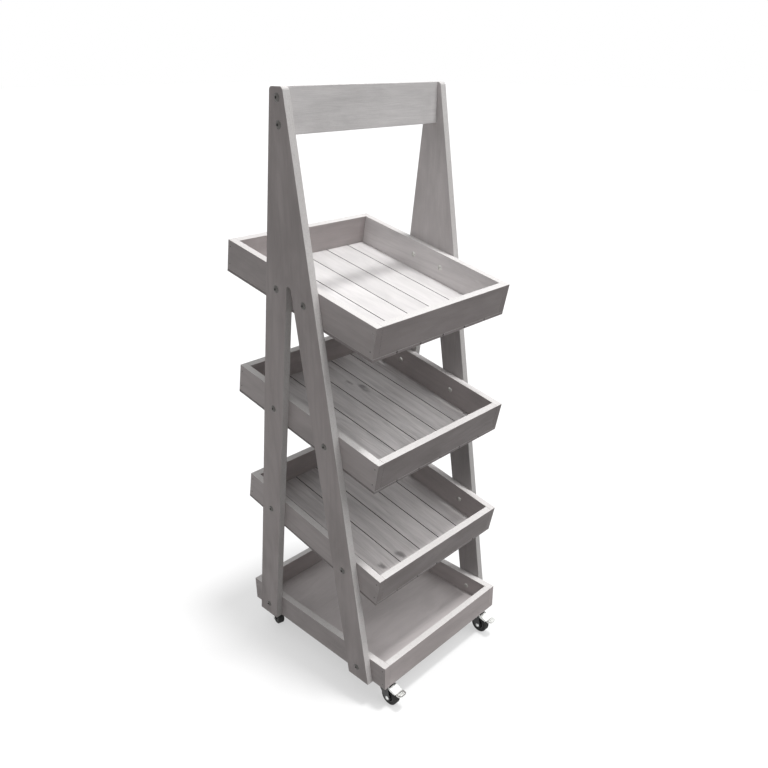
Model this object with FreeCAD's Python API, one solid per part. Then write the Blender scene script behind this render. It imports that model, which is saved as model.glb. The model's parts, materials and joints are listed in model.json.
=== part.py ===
import FreeCAD, Part
import math
import os

from FreeCAD import Vector

# A four-tier display cart: two A-shaped side panels, a handle board, three
# trays that lean forward, a level base tray and four swivel castors.
# X runs from the left panel to the right one, -Y is the front, +Z is up.
# All sizes are in millimetres and degrees.

# Side panels. Heights on them are measured up from their feet.
panel_thickness = 18
panel_height = 1400
panel_top_width = 40
panel_splay = 8.2
panel_corner_radius = 8
leg_width = 71
notch_radius = 7.5

# Handle board between the panels
handle_height = 90
handle_thickness = 18
handle_front = 11
handle_bolt_spacing = 50

# Trays. The depth is measured along the tilted side boards.
tray_width = 450
tray_depth = 500
tray_height = 80
tray_tilt = 12
lowest_tray_level = 345
tray_spacing = 315
wall_thickness = 18
floor_thickness = 7
floor_board_count = 6
floor_board_gap = 2

# Base tray, its underside level with the panels' feet
base_depth = 532
base_height = 70
base_floor_thickness = 12

# Eased edges of all boards
board_easing = 0.8
floor_easing = 0.6

# Dome-head bolts and cap nuts
bolt_head_diameter = 17
bolt_head_height = 3.2
bolt_diameter = 6
bolt_hole_clearance = 0.25
socket_width = 5
socket_depth = 2
nut_head_diameter = 14
nut_head_height = 2.4
nut_sleeve_diameter = 9
nut_sleeve_length = 13
thread_clearance = 0.05
bolt_end_gap = 1.5
handle_bolt_reach = 32
insert_diameter = 11
insert_length = 20
insert_depth = 8

# Nails
nail_diameter = 2
nail_head_diameter = 4
nail_head_height = 0.8
nail_head_proud = 0.25
wall_nail_length = 42
wall_nail_spacing = 43
wall_nail_inset = 9
floor_nail_length = 25
floor_nail_spacing = 40
floor_nail_inset = 13

# Castors. The floor is at Z = 0, and the wheel trails its swivel axis.
castor_inset_x = 35
castor_inset_y = 36
rear_castor_turn = 15
castor_trail = 22
plate_size = 60
plate_thickness = 2.5
plate_corner_radius = 6
screw_spacing = 45
screw_diameter = 4
screw_head_diameter = 8
screw_head_height = 2.2
screw_length = 10
screw_hole_clearance = 0.6
race_radius = 19
race_depth = 2.5
ball_diameter = 4
ball_circle_radius = 14
ball_count = 12
ball_clearance = 0.05
ball_groove_depth = 0.7
kingpin_diameter = 8
kingpin_head_diameter = 14
kingpin_head_height = 2
running_clearance = 0.06

# Fork, its crown held above the wheel
wheel_clearance = 16.9
crown_thickness = 2.5
crown_rear_reach = 15
crown_front_reach = 23
cup_wall = 2
cup_clearance = 1.2
cup_gap = 1
cheek_thickness = 2
cheek_spacing = 25
cheek_eye_radius = 9
cheek_skirt = 2
cheek_corner_radius = 4

# Wheel
wheel_diameter = 50
tyre_width = 19
tyre_shoulder = 3.5
hub_diameter = 32
hub_rim_width = 17
hub_rim_wall = 3
hub_web_thickness = 5
hub_boss_diameter = 14
hub_side_gap = 0.3
axle_diameter = 6
axle_head_diameter = 11
axle_head_height = 2.6

# Brake pedals on the two front castors
pedal_reach = 69
pedal_width = 24
pedal_thickness = 1.6
pedal_pivot_forward = 13
pedal_pivot_over_wheel = 7.5
pedal_heel = 7
pedal_heel_rise = 4
pedal_plate_back = 29
pedal_plate_rise = 5
pedal_bend_forward = 51
pedal_bend_drop = 3.3
pedal_bend_radius = 4
pedal_tab_width = 27
pedal_tab_rise = 1.2
pedal_tab_radius = 9
pedal_step = 4
pedal_step_radius = 1
flange_depth = 6.5
flange_front_gap = 4
flange_under_pin = 4
flange_corner_radius = 2
pedal_pin_diameter = 4
pedal_pin_head_diameter = 7.2
pedal_pin_head_height = 1.4
brake_shoe_forward = 38
brake_shoe_thickness = 2
brake_shoe_width = 14
brake_shoe_gap = 0.5

# Worked out from the sizes above
crown_low = wheel_diameter + wheel_clearance
crown_top = crown_low + crown_thickness
race_low = crown_top + ball_diameter - 2 * ball_groove_depth
plate_low = race_low + race_depth
castor_height = plate_low + plate_thickness
foot_z = castor_height
splay_slope = math.tan(math.radians(panel_splay))
top_half_width = panel_top_width / 2
foot_half_width = top_half_width + panel_height * splay_slope
inner_x = tray_width / 2
outer_x = inner_x + panel_thickness
wall_height = tray_height - floor_thickness
wheel_radius = wheel_diameter / 2
pedal_overhang = pedal_reach - castor_inset_y
centre_y = pedal_overhang / 2
tray_names = ("lower_tray", "middle_tray", "top_tray")
sides = (-1, 1)


def cylinder(radius, start, end):
    """Round bar from one point to another."""
    run = end - start
    return Part.makeCylinder(radius, run.Length, start, run)


def block(low, high):
    """Box between two corners."""
    return Part.makeBox(high.x - low.x, high.y - low.y, high.z - low.z, low)


def board(low, high, easing):
    """Board between two corners, with all its edges eased."""
    plank = block(low, high)
    return plank.makeFillet(easing, plank.Edges)


def corner_arc(before, corner, after, radius):
    """Start, middle and end of the arc that rounds one corner."""
    to_before = (before - corner).normalize()
    to_after = (after - corner).normalize()
    half_angle = to_before.getAngle(to_after) / 2
    cut_back = radius / math.tan(half_angle)
    bisector = (to_before + to_after).normalize()
    start = corner + to_before * cut_back
    middle = corner + bisector * (radius / math.sin(half_angle) - radius)
    end = corner + to_after * cut_back
    return start, middle, end


def outline_face(corners):
    """Flat face through corners given as (point, radius)."""
    stops = []
    for index, (corner, radius) in enumerate(corners):
        before = corners[index - 1][0]
        after = corners[(index + 1) % len(corners)][0]
        if radius:
            stops.append(corner_arc(before, corner, after, radius))
        else:
            stops.append((corner, None, corner))
    edges = []
    for index, (start, middle, end) in enumerate(stops):
        if middle:
            edges.append(Part.Arc(start, middle, end).toShape())
        next_start = stops[(index + 1) % len(stops)][0]
        edges.append(Part.LineSegment(end, next_start).toShape())
    return Part.Face(Part.Wire(edges))


def aimed(shape, point, direction):
    """Copy of a shape built along +Z from the origin, set along a direction at a point."""
    turned = shape.copy()
    turned.Placement = FreeCAD.Placement(point, FreeCAD.Rotation(Vector(0, 0, 1), direction))
    return turned


def leaned(shape, level):
    """Shape built about the origin, leaned forward and raised to its level on the panels."""
    moved = shape.copy()
    moved.rotate(Vector(0, 0, 0), Vector(1, 0, 0), tray_tilt)
    moved.translate(Vector(0, 0, foot_z + level))
    return moved


def cut_all(shape, tools):
    """Shape with every tool cut out of it."""
    if not tools:
        return shape
    return shape.cut(Part.makeCompound(tools)).removeSplitter()


def save(name, solids):
    """Write one node, moved so that the origin is under the middle of the whole stand."""
    pieces = []
    for solid in solids:
        piece = solid.copy()
        piece.translate(Vector(0, centre_y, 0))
        pieces.extend(piece.Solids)
    shape = pieces[0] if len(pieces) == 1 else Part.makeCompound(pieces)
    shape.exportStep("parts/" + name + ".step")


# ---- Where the bolts go ----

def leg_centre(height):
    """Distance of a leg's centre line from the panel's centre plane at a height over its foot."""
    return foot_half_width - leg_width / 2 - height * splay_slope


def tilted_bolt(end, level):
    """Where the mid-line of a tilted side board crosses a leg's centre line.

    end is 1 for the rear leg and -1 for the front leg.
    """
    tilt = math.radians(tray_tilt)
    above_middle = floor_thickness / 2
    reach = leg_centre(level + above_middle * math.cos(tilt))
    along = (end * reach + above_middle * math.sin(tilt)) / (
        math.cos(tilt) + end * math.sin(tilt) * splay_slope)
    y = along * math.cos(tilt) - above_middle * math.sin(tilt)
    z = foot_z + level + along * math.sin(tilt) + above_middle * math.cos(tilt)
    return Vector(0, y, z)


def tray_levels():
    """Name and level of each tilted tray's middle."""
    return [(name, lowest_tray_level + index * tray_spacing)
            for index, name in enumerate(tray_names)]


def tray_bolt_points():
    """Bolt places of every tray, on the X = 0 plane."""
    places = {}
    for name, level in tray_levels():
        places[name] = [tilted_bolt(end, level) for end in sides]
    base_level = base_height / 2
    places["base_tray"] = [Vector(0, end * leg_centre(base_level), foot_z + base_level)
                           for end in sides]
    return places


def handle_centre():
    """Middle of the handle board's end face, on the X = 0 plane."""
    y = handle_thickness / 2 - handle_front
    return Vector(0, y, foot_z + panel_height - handle_height / 2)


def handle_bolt_points():
    """Bolt places of the handle board, on the X = 0 plane."""
    return [handle_centre() + Vector(0, 0, end * handle_bolt_spacing / 2) for end in sides]


# ---- Side panels and handle board ----

def side_panel(side):
    """Flat A-shaped panel with a round-topped notch between its two legs."""
    bolt_places = [point for points in tray_bolt_points().values() for point in points]
    bolt_places += handle_bolt_points()
    inner_half_width = foot_half_width - leg_width
    apex_height = inner_half_width / splay_slope
    flat_corners = [
        (foot_half_width, 0, 0),
        (top_half_width, panel_height, panel_corner_radius),
        (-top_half_width, panel_height, panel_corner_radius),
        (-foot_half_width, 0, 0),
        (-inner_half_width, 0, 0),
        (0, apex_height, notch_radius),
        (inner_half_width, 0, 0),
    ]
    inner_face_x = side * inner_x
    corners = [(Vector(inner_face_x, y, foot_z + z), radius) for y, z, radius in flat_corners]
    panel = outline_face(corners).extrude(Vector(side * panel_thickness, 0, 0))
    rim_edges = [edge for edge in panel.Edges if edge.BoundBox.XLength < panel_thickness / 2]
    panel = panel.makeFillet(board_easing, rim_edges)
    hole_radius = bolt_diameter / 2 + bolt_hole_clearance
    holes = [cylinder(hole_radius, Vector(inner_face_x - side, p.y, p.z),
                      Vector(side * (outer_x + 1), p.y, p.z)) for p in bolt_places]
    return cut_all(panel, holes)


def handle_board():
    """Board that joins the panels at the top, bored at both ends for its inserts and bolts."""
    middle = handle_centre()
    half = Vector(inner_x, handle_thickness / 2, handle_height / 2)
    plank = board(middle - half, middle + half, board_easing)
    bores = []
    for side in sides:
        for point in handle_bolt_points():
            end_face = Vector(side * inner_x, point.y, point.z)
            inward = Vector(-side, 0, 0)
            insert_start = end_face + inward * insert_depth
            bolt_tip = end_face + inward * (handle_bolt_reach + bolt_end_gap)
            bores.append(cylinder(bolt_diameter / 2 + bolt_hole_clearance,
                                  end_face - inward, bolt_tip))
            bores.append(cylinder(insert_diameter / 2, insert_start,
                                  insert_start + inward * insert_length))
    return cut_all(plank, bores)


# ---- Bolts, nuts, inserts, nails and screws ----

def dome_head(diameter, height):
    """Low dome that stands on the Z = 0 plane, with a six-sided socket."""
    ball_radius = (height ** 2 + (diameter / 2) ** 2) / (2 * height)
    ball = Part.makeSphere(ball_radius, Vector(0, 0, height - ball_radius))
    dome = ball.common(Part.makeCylinder(diameter / 2, height))
    corner_radius = socket_width / 2 / math.cos(math.pi / 6)
    corners = []
    for step in range(6):
        angle = math.pi * step / 3
        corners.append((Vector(corner_radius * math.cos(angle), corner_radius * math.sin(angle),
                               height - socket_depth), 0))
    socket = outline_face(corners).extrude(Vector(0, 0, socket_depth + 1))
    return dome.cut(socket)


def dome_bolt(shank_length):
    """Bolt whose head stands on the Z = 0 plane and whose shank runs down."""
    shank = Part.makeCylinder(bolt_diameter / 2, shank_length, Vector(0, 0, -shank_length))
    return dome_head(bolt_head_diameter, bolt_head_height).fuse(shank).removeSplitter()


def cap_nut():
    """Nut with a domed head on the Z = 0 plane and a threaded sleeve below it."""
    sleeve = Part.makeCylinder(nut_sleeve_diameter / 2, nut_sleeve_length,
                               Vector(0, 0, -nut_sleeve_length))
    nut = dome_head(nut_head_diameter, nut_head_height).fuse(sleeve).removeSplitter()
    thread = Part.makeCylinder(bolt_diameter / 2 + thread_clearance, nut_sleeve_length,
                               Vector(0, 0, -nut_sleeve_length))
    return nut.cut(thread)


def nail(length):
    """Flat-headed nail, its head's top nail_head_proud above the Z = 0 plane."""
    head_low = nail_head_proud - nail_head_height
    head = Part.makeCylinder(nail_head_diameter / 2, nail_head_height, Vector(0, 0, head_low))
    shank = Part.makeCylinder(nail_diameter / 2, length, Vector(0, 0, -length))
    return head.fuse(shank).removeSplitter()


def tray_bolts():
    """Bolts through the panels into the trays' side boards."""
    length = panel_thickness + wall_thickness - bolt_end_gap
    bolt = dome_bolt(length)
    return [aimed(bolt, Vector(side * outer_x, p.y, p.z), Vector(side, 0, 0))
            for side in sides for points in tray_bolt_points().values() for p in points]


def handle_bolts():
    """Bolts through the panels into the handle board's end inserts."""
    bolt = dome_bolt(panel_thickness + handle_bolt_reach)
    return [aimed(bolt, Vector(side * outer_x, p.y, p.z), Vector(side, 0, 0))
            for side in sides for p in handle_bolt_points()]


def handle_inserts():
    """Threaded inserts buried in the handle board's ends."""
    body = Part.makeCylinder(insert_diameter / 2, insert_length)
    insert = body.cut(Part.makeCylinder(bolt_diameter / 2 + thread_clearance, insert_length))
    return [aimed(insert, Vector(side * (inner_x - insert_depth), p.y, p.z), Vector(-side, 0, 0))
            for side in sides for p in handle_bolt_points()]


def tray_nuts():
    """Cap nuts on the inner faces of the trays' side boards."""
    nut = cap_nut()
    nut_x = inner_x - wall_thickness
    return [aimed(nut, Vector(side * nut_x, p.y, p.z), Vector(-side, 0, 0))
            for side in sides for points in tray_bolt_points().values() for p in points]


def bolt_bores(side, points):
    """Bores through one side board: bolt hole from outside, nut sleeve's seat from inside."""
    bores = []
    nut_x = inner_x - wall_thickness
    for p in points:
        bores.append(cylinder(bolt_diameter / 2 + bolt_hole_clearance,
                              Vector(side * (nut_x - 1), p.y, p.z),
                              Vector(side * (inner_x + 1), p.y, p.z)))
        bores.append(cylinder(nut_sleeve_diameter / 2,
                              Vector(side * (nut_x - 1), p.y, p.z),
                              Vector(side * (nut_x + nut_sleeve_length), p.y, p.z)))
    return bores


# ---- Trays ----

def side_nails(depth, middle_height):
    """Nails through a tray's side boards into the ends of its front and rear boards.

    The tray is level, with its middle at the origin; middle_height is the walls' middle.
    """
    driven = nail(wall_nail_length)
    end_y = depth / 2 - wall_nail_inset
    return [aimed(driven, Vector(side * inner_x, end * end_y,
                                 middle_height + row * wall_nail_spacing / 2),
                  Vector(side, 0, 0))
            for side in sides for end in sides for row in sides]


def tray_walls(depth, low_z, high_z):
    """Left, right, front and rear boards of a level tray with its middle at the origin."""
    inside = inner_x - wall_thickness
    half_depth = depth / 2
    inside_y = half_depth - wall_thickness
    spans = {
        "left_wall": (-inner_x, -inside, -half_depth, half_depth),
        "right_wall": (inside, inner_x, -half_depth, half_depth),
        "front_wall": (-inside, inside, -half_depth, -inside_y),
        "rear_wall": (-inside, inside, inside_y, half_depth),
    }
    return {name: board(Vector(x0, y0, low_z), Vector(x1, y1, high_z), board_easing)
            for name, (x0, x1, y0, y1) in spans.items()}


def floor_board_centres():
    """Middle of each floor board across the tray."""
    width = floor_board_width()
    first = -inner_x + width / 2
    return [first + index * (width + floor_board_gap) for index in range(floor_board_count)]


def floor_board_width():
    """Width that lets the boards and the gaps between them fill the tray's width."""
    return (tray_width - (floor_board_count - 1) * floor_board_gap) / floor_board_count


def floor_boards():
    """Boards under the walls of a level tray with its middle at the origin."""
    half_width = floor_board_width() / 2
    low_z = -tray_height / 2
    return [board(Vector(x - half_width, -tray_depth / 2, low_z),
                  Vector(x + half_width, tray_depth / 2, low_z + floor_thickness), floor_easing)
            for x in floor_board_centres()]


def floor_nails():
    """Nails up through the floor boards into the front and rear boards."""
    driven = nail(floor_nail_length)
    end_y = tray_depth / 2 - floor_nail_inset
    shift = floor_nail_spacing / 2
    outer_limit = inner_x - wall_thickness - nail_head_diameter
    nails = []
    for centre in floor_board_centres():
        for row in sides:
            x = max(-outer_limit, min(outer_limit, centre + row * shift))
            for end in sides:
                nails.append(aimed(driven, Vector(x, end * end_y, -tray_height / 2),
                                   Vector(0, 0, -1)))
    return nails


def make_tilted_trays():
    """Write the three leaning trays, and return their nails."""
    places = tray_bolt_points()
    frame_nails = []
    board_nails = []
    wall_low = -tray_height / 2 + floor_thickness
    for name, level in tray_levels():
        corner_nails = side_nails(tray_depth, floor_thickness / 2)
        under_nails = floor_nails()
        for wall_name, wall in tray_walls(tray_depth, wall_low, tray_height / 2).items():
            nailed = leaned(cut_all(wall, corner_nails + under_nails), level)
            side = {"left_wall": -1, "right_wall": 1}.get(wall_name)
            bores = bolt_bores(side, places[name]) if side else []
            save(name + "_" + wall_name, [cut_all(nailed, bores)])
        boards = [leaned(cut_all(plank, under_nails), level) for plank in floor_boards()]
        save(name + "_floor_boards", boards)
        frame_nails += [leaned(piece, level) for piece in corner_nails]
        board_nails += [leaned(piece, level) for piece in under_nails]
    return frame_nails, board_nails


def make_base_tray(screws):
    """Write the level base tray, and return its nails."""
    lift = Vector(0, 0, foot_z)
    nails = side_nails(base_depth, base_height / 2)
    for piece in nails:
        piece.translate(lift)
    points = tray_bolt_points()["base_tray"]
    for wall_name, wall in tray_walls(base_depth, 0, base_height).items():
        wall.translate(lift)
        side = {"left_wall": -1, "right_wall": 1}.get(wall_name)
        bores = bolt_bores(side, points) if side else []
        save("base_tray_" + wall_name, [cut_all(wall, nails + bores + screws)])
    inside_x = inner_x - wall_thickness
    inside_y = base_depth / 2 - wall_thickness
    sheet = block(Vector(-inside_x, -inside_y, foot_z),
                  Vector(inside_x, inside_y, foot_z + base_floor_thickness))
    save("base_tray_floor", [cut_all(sheet, screws)])
    return nails


# ---- Castors, each built on its swivel axis with the wheel trailing towards -Y ----

ball_z = (race_low + crown_top) / 2
kingpin_head_low = castor_height - kingpin_head_height
axle_y = -castor_trail
axle_z = wheel_radius
cheek_outer_x = cheek_spacing / 2 + cheek_thickness
pedal_pivot_z = wheel_diameter + pedal_pivot_over_wheel


def screw_places():
    """Screws' places round a castor's swivel axis."""
    half = screw_spacing / 2
    return [Vector(i * half, j * half, plate_low) for i in sides for j in sides]


def ball_groove():
    """Ring that the balls run in, a little fatter than they are."""
    return Part.makeTorus(ball_circle_radius, ball_diameter / 2 + ball_clearance,
                          Vector(0, 0, ball_z))


def castor_plate():
    """Mounting plate with the upper ball race pressed into its underside."""
    half = plate_size / 2
    corners = [(Vector(x, y, plate_low), plate_corner_radius)
               for x, y in ((-half, -half), (half, -half), (half, half), (-half, half))]
    plate = outline_face(corners).extrude(Vector(0, 0, plate_thickness))
    plate = plate.fuse(Part.makeCylinder(race_radius, race_depth, Vector(0, 0, race_low)))
    tools = [ball_groove()]
    tools.append(Part.makeCylinder(kingpin_diameter / 2, castor_height, Vector(0, 0, 0)))
    tools.append(Part.makeCylinder(kingpin_head_diameter / 2, kingpin_head_height,
                                   Vector(0, 0, kingpin_head_low)))
    hole_radius = screw_diameter / 2 + screw_hole_clearance
    for point in screw_places():
        tools.append(Part.makeCylinder(hole_radius, plate_thickness, point))
    return cut_all(plate, tools)


def kingpin():
    """Rivet that the fork swivels on, its upper head let into the plate."""
    lower_head_top = crown_low - running_clearance
    lower_head_low = lower_head_top - kingpin_head_height
    shank = Part.makeCylinder(kingpin_diameter / 2, castor_height - lower_head_low,
                              Vector(0, 0, lower_head_low))
    upper = Part.makeCylinder(kingpin_head_diameter / 2, kingpin_head_height,
                              Vector(0, 0, kingpin_head_low))
    lower = Part.makeCylinder(kingpin_head_diameter / 2, kingpin_head_height,
                              Vector(0, 0, lower_head_low))
    return shank.fuse([upper, lower]).removeSplitter()


def race_balls():
    """Ring of bearing balls."""
    balls = []
    for step in range(ball_count):
        angle = 2 * math.pi * step / ball_count
        centre = Vector(ball_circle_radius * math.cos(angle),
                        ball_circle_radius * math.sin(angle), ball_z)
        balls.append(Part.makeSphere(ball_diameter / 2, centre))
    return balls


def castor_screws():
    """Screws that hold one plate to the base tray."""
    head_low = -screw_head_height
    head = Part.makeCylinder(screw_head_diameter / 2, screw_head_height, Vector(0, 0, head_low))
    shank = Part.makeCylinder(screw_diameter / 2, plate_thickness + screw_length)
    screw = head.fuse(shank).removeSplitter()
    return [aimed(screw, point, Vector(0, 0, 1)) for point in screw_places()]


def touching_point(point, centre, radius, side):
    """Where a line from a point touches a circle; side is 1 for its rear and -1 for its front."""
    run = point - centre
    angle = math.atan2(run.z, run.y) - side * math.acos(radius / run.Length)
    return centre + Vector(0, radius * math.cos(angle), radius * math.sin(angle))


def cheek(side):
    """One side plate of the fork, from the crown down round the axle."""
    x = side * cheek_spacing / 2
    axle_centre = Vector(x, axle_y, axle_z)
    crown_rear = Vector(x, crown_rear_reach, crown_top)
    crown_front = Vector(x, -crown_front_reach, crown_top)
    skirt = Vector(0, 0, -crown_thickness - cheek_skirt)
    rear_touch = touching_point(crown_rear + skirt, axle_centre, cheek_eye_radius, 1)
    front_touch = touching_point(crown_front + skirt, axle_centre, cheek_eye_radius, -1)
    stops = [front_touch, crown_front + skirt, crown_front, crown_rear, crown_rear + skirt, rear_touch]
    edges = [Part.LineSegment(start, end).toShape() for start, end in zip(stops, stops[1:])]
    under_eye = axle_centre - Vector(0, 0, cheek_eye_radius)
    edges.append(Part.Arc(rear_touch, under_eye, front_touch).toShape())
    plate = Part.Face(Part.Wire(edges)).extrude(Vector(side * cheek_thickness, 0, 0))
    skirt_edges = [edge for edge in plate.Edges if is_crosswise_at(edge, crown_rear + skirt)]
    skirt_edges += [edge for edge in plate.Edges if is_crosswise_at(edge, crown_front + skirt)]
    return plate.makeFillet(cheek_corner_radius, skirt_edges)


def is_crosswise_at(edge, point):
    """True for an edge along X that passes through a point's Y and Z."""
    centre = edge.BoundBox.Center
    return (edge.BoundBox.XLength > cheek_thickness / 2
            and Vector(point.x, centre.y, centre.z).isEqual(point, 1e-6))


def fork(has_pedal):
    """Stamped fork: crown with the lower ball race, dust cup and two cheeks."""
    crown = block(Vector(-cheek_outer_x, -crown_front_reach, crown_low),
                  Vector(cheek_outer_x, crown_rear_reach, crown_top))
    cup_inner = race_radius + cup_clearance
    cup_outer = cup_inner + cup_wall
    cup_high = plate_low - cup_gap
    cup = Part.makeCylinder(cup_outer, cup_high - crown_low, Vector(0, 0, crown_low))
    cup = cup.cut(Part.makeCylinder(cup_inner, cup_high - crown_top, Vector(0, 0, crown_top)))
    body = crown.fuse([cup, cheek(-1), cheek(1)]).removeSplitter()
    tools = [ball_groove()]
    tools.append(Part.makeCylinder(kingpin_diameter / 2 + running_clearance, castor_height))
    tools.append(cylinder(axle_diameter / 2, Vector(-cheek_outer_x - 1, axle_y, axle_z),
                          Vector(cheek_outer_x + 1, axle_y, axle_z)))
    if has_pedal:
        tools.append(cylinder(pedal_pin_diameter / 2,
                              Vector(-cheek_outer_x - 1, -pedal_pivot_forward, pedal_pivot_z),
                              Vector(cheek_outer_x + 1, -pedal_pivot_forward, pedal_pivot_z)))
    return cut_all(body, tools)


def riveted_pin(diameter, head_diameter, head_height, y, z):
    """Pin across the fork with a low round head outside each cheek."""
    pin = cylinder(diameter / 2, Vector(-cheek_outer_x, y, z), Vector(cheek_outer_x, y, z))
    heads = []
    for side in sides:
        ball_radius = (head_height ** 2 + (head_diameter / 2) ** 2) / (2 * head_height)
        ball = Part.makeSphere(ball_radius, Vector(0, 0, head_height - ball_radius))
        head = ball.common(Part.makeCylinder(head_diameter / 2, head_height))
        heads.append(aimed(head, Vector(side * cheek_outer_x, y, z), Vector(side, 0, 0)))
    return pin.fuse(heads).removeSplitter()


def turned_ring(profile):
    """Solid turned about the wheel's axle from (distance from axle, place along X, radius)."""
    corners = [(Vector(x, axle_y, axle_z + r), radius) for r, x, radius in profile]
    return outline_face(corners).revolve(Vector(0, axle_y, axle_z), Vector(1, 0, 0), 360)


def tyre():
    """Tread ring with rounded shoulders."""
    half = tyre_width / 2
    inner = hub_diameter / 2
    return turned_ring([(inner, -half, 0), (wheel_radius, -half, tyre_shoulder),
                        (wheel_radius, half, tyre_shoulder), (inner, half, 0)])


def hub():
    """Wheel centre: rim, thinner web and a boss that runs on the axle."""
    rim_half = hub_rim_width / 2
    web_half = hub_web_thickness / 2
    boss_half = cheek_spacing / 2 - hub_side_gap
    bore = axle_diameter / 2 + running_clearance
    boss = hub_boss_diameter / 2
    rim_inner = hub_diameter / 2 - hub_rim_wall
    rim_outer = hub_diameter / 2
    right = [(bore, boss_half, 0), (boss, boss_half, 0), (boss, web_half, 0),
             (rim_inner, web_half, 0), (rim_inner, rim_half, 0), (rim_outer, rim_half, 0)]
    left = [(r, -x, radius) for r, x, radius in reversed(right)]
    return turned_ring(right + left)


def pedal_top(forward):
    """Height of the pedal plate's upper face at a distance in front of the swivel axis."""
    back_top = pedal_pivot_z + pedal_plate_rise
    bend_top = pedal_pivot_z - pedal_bend_drop
    slope = (back_top - bend_top) / (pedal_bend_forward - pedal_plate_back)
    return back_top - (forward - pedal_plate_back) * slope


def sheet_below(line, thickness):
    """Underside of a bent sheet whose upper face follows a line that runs to the front."""
    normals = []
    for start, end in zip(line, line[1:]):
        run = (end - start).normalize()
        normals.append(Vector(0, -run.z, run.y))
    lower = []
    for index, point in enumerate(line):
        before = normals[max(index - 1, 0)]
        after = normals[min(index, len(normals) - 1)]
        lower.append(point + (before + after) * (thickness / (1 + before.dot(after))))
    return lower


def pedal_plate():
    """Plate and toe tab, cut from a bent strip by the pedal's outline from above."""
    half = pedal_width / 2
    tab_half = pedal_tab_width / 2
    bend_top = pedal_top(pedal_bend_forward)
    upper = [Vector(-tab_half, -pedal_plate_back, pedal_top(pedal_plate_back)),
             Vector(-tab_half, -pedal_bend_forward, bend_top),
             Vector(-tab_half, -pedal_reach, bend_top + pedal_tab_rise)]
    lower = sheet_below(upper, pedal_thickness)
    radii = (0, pedal_bend_radius, 0)
    under_radii = (0, pedal_bend_radius + pedal_thickness, 0)
    corners = list(zip(upper, radii)) + list(zip(reversed(lower), under_radii))
    strip = outline_face(corners).extrude(Vector(pedal_tab_width, 0, 0))
    right = [(half, pedal_plate_back, 0), (half, pedal_bend_forward, pedal_step_radius),
             (tab_half, pedal_bend_forward + pedal_step, pedal_step_radius),
             (tab_half, pedal_reach, pedal_tab_radius)]
    plan = right + [(-x, forward, radius) for x, forward, radius in reversed(right)]
    mask = outline_face([(Vector(x, -forward, 0), radius) for x, forward, radius in plan])
    return strip.common(mask.extrude(Vector(0, 0, castor_height)))


def pedal_flange(side):
    """Side of the pedal, turned down from its plate and bored for the pivot pin."""
    x = side * (pedal_width / 2 - pedal_thickness)
    heel_top = pedal_pivot_z + pedal_heel_rise
    back_low = pedal_pivot_z - flange_under_pin
    front_low = pedal_bend_forward - flange_front_gap
    corners = [
        (Vector(x, -pedal_heel, heel_top), flange_corner_radius),
        (Vector(x, -pedal_heel, back_low), flange_corner_radius),
        (Vector(x, -pedal_pivot_forward - flange_under_pin, back_low), flange_corner_radius),
        (Vector(x, -front_low, pedal_top(front_low) - flange_depth), flange_corner_radius),
        (Vector(x, -pedal_bend_forward, pedal_top(pedal_bend_forward)), 0),
        (Vector(x, -pedal_plate_back, pedal_top(pedal_plate_back)), 0),
    ]
    return outline_face(corners).extrude(Vector(side * pedal_thickness, 0, 0))


def brake_shoe():
    """Tongue under the pedal that stops the tyre, just clear of its tread."""
    from_axle = brake_shoe_forward - castor_trail
    tread_z = axle_z + math.sqrt(wheel_radius ** 2 - from_axle ** 2)
    half = brake_shoe_width / 2
    far = brake_shoe_forward + brake_shoe_thickness
    return block(Vector(-half, -far, tread_z + brake_shoe_gap),
                 Vector(half, -brake_shoe_forward, pedal_top(far) - pedal_thickness / 2))


def brake_pedal():
    """Pressed pedal with turned-down sides, a toe tab and a brake tongue."""
    pedal = pedal_plate().fuse([pedal_flange(-1), pedal_flange(1), brake_shoe()])
    pin_bore = cylinder(pedal_pin_diameter / 2 + running_clearance,
                        Vector(-pedal_width, -pedal_pivot_forward, pedal_pivot_z),
                        Vector(pedal_width, -pedal_pivot_forward, pedal_pivot_z))
    return pedal.cut(pin_bore).removeSplitter()


def castor_spots():
    """Name, place, turn and brake of each castor."""
    x = inner_x - castor_inset_x
    y = base_depth / 2 - castor_inset_y
    return [
        ("front_left", Vector(-x, -y, 0), 0, True),
        ("front_right", Vector(x, -y, 0), 0, True),
        ("rear_left", Vector(-x, y, 0), -rear_castor_turn, False),
        ("rear_right", Vector(x, y, 0), rear_castor_turn, False),
    ]


def placed(shape, spot, turn):
    """Copy of a castor's piece, turned on its swivel axis and set in its place."""
    moved = shape.copy()
    moved.rotate(Vector(0, 0, 0), Vector(0, 0, 1), turn)
    moved.translate(spot)
    return moved


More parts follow.
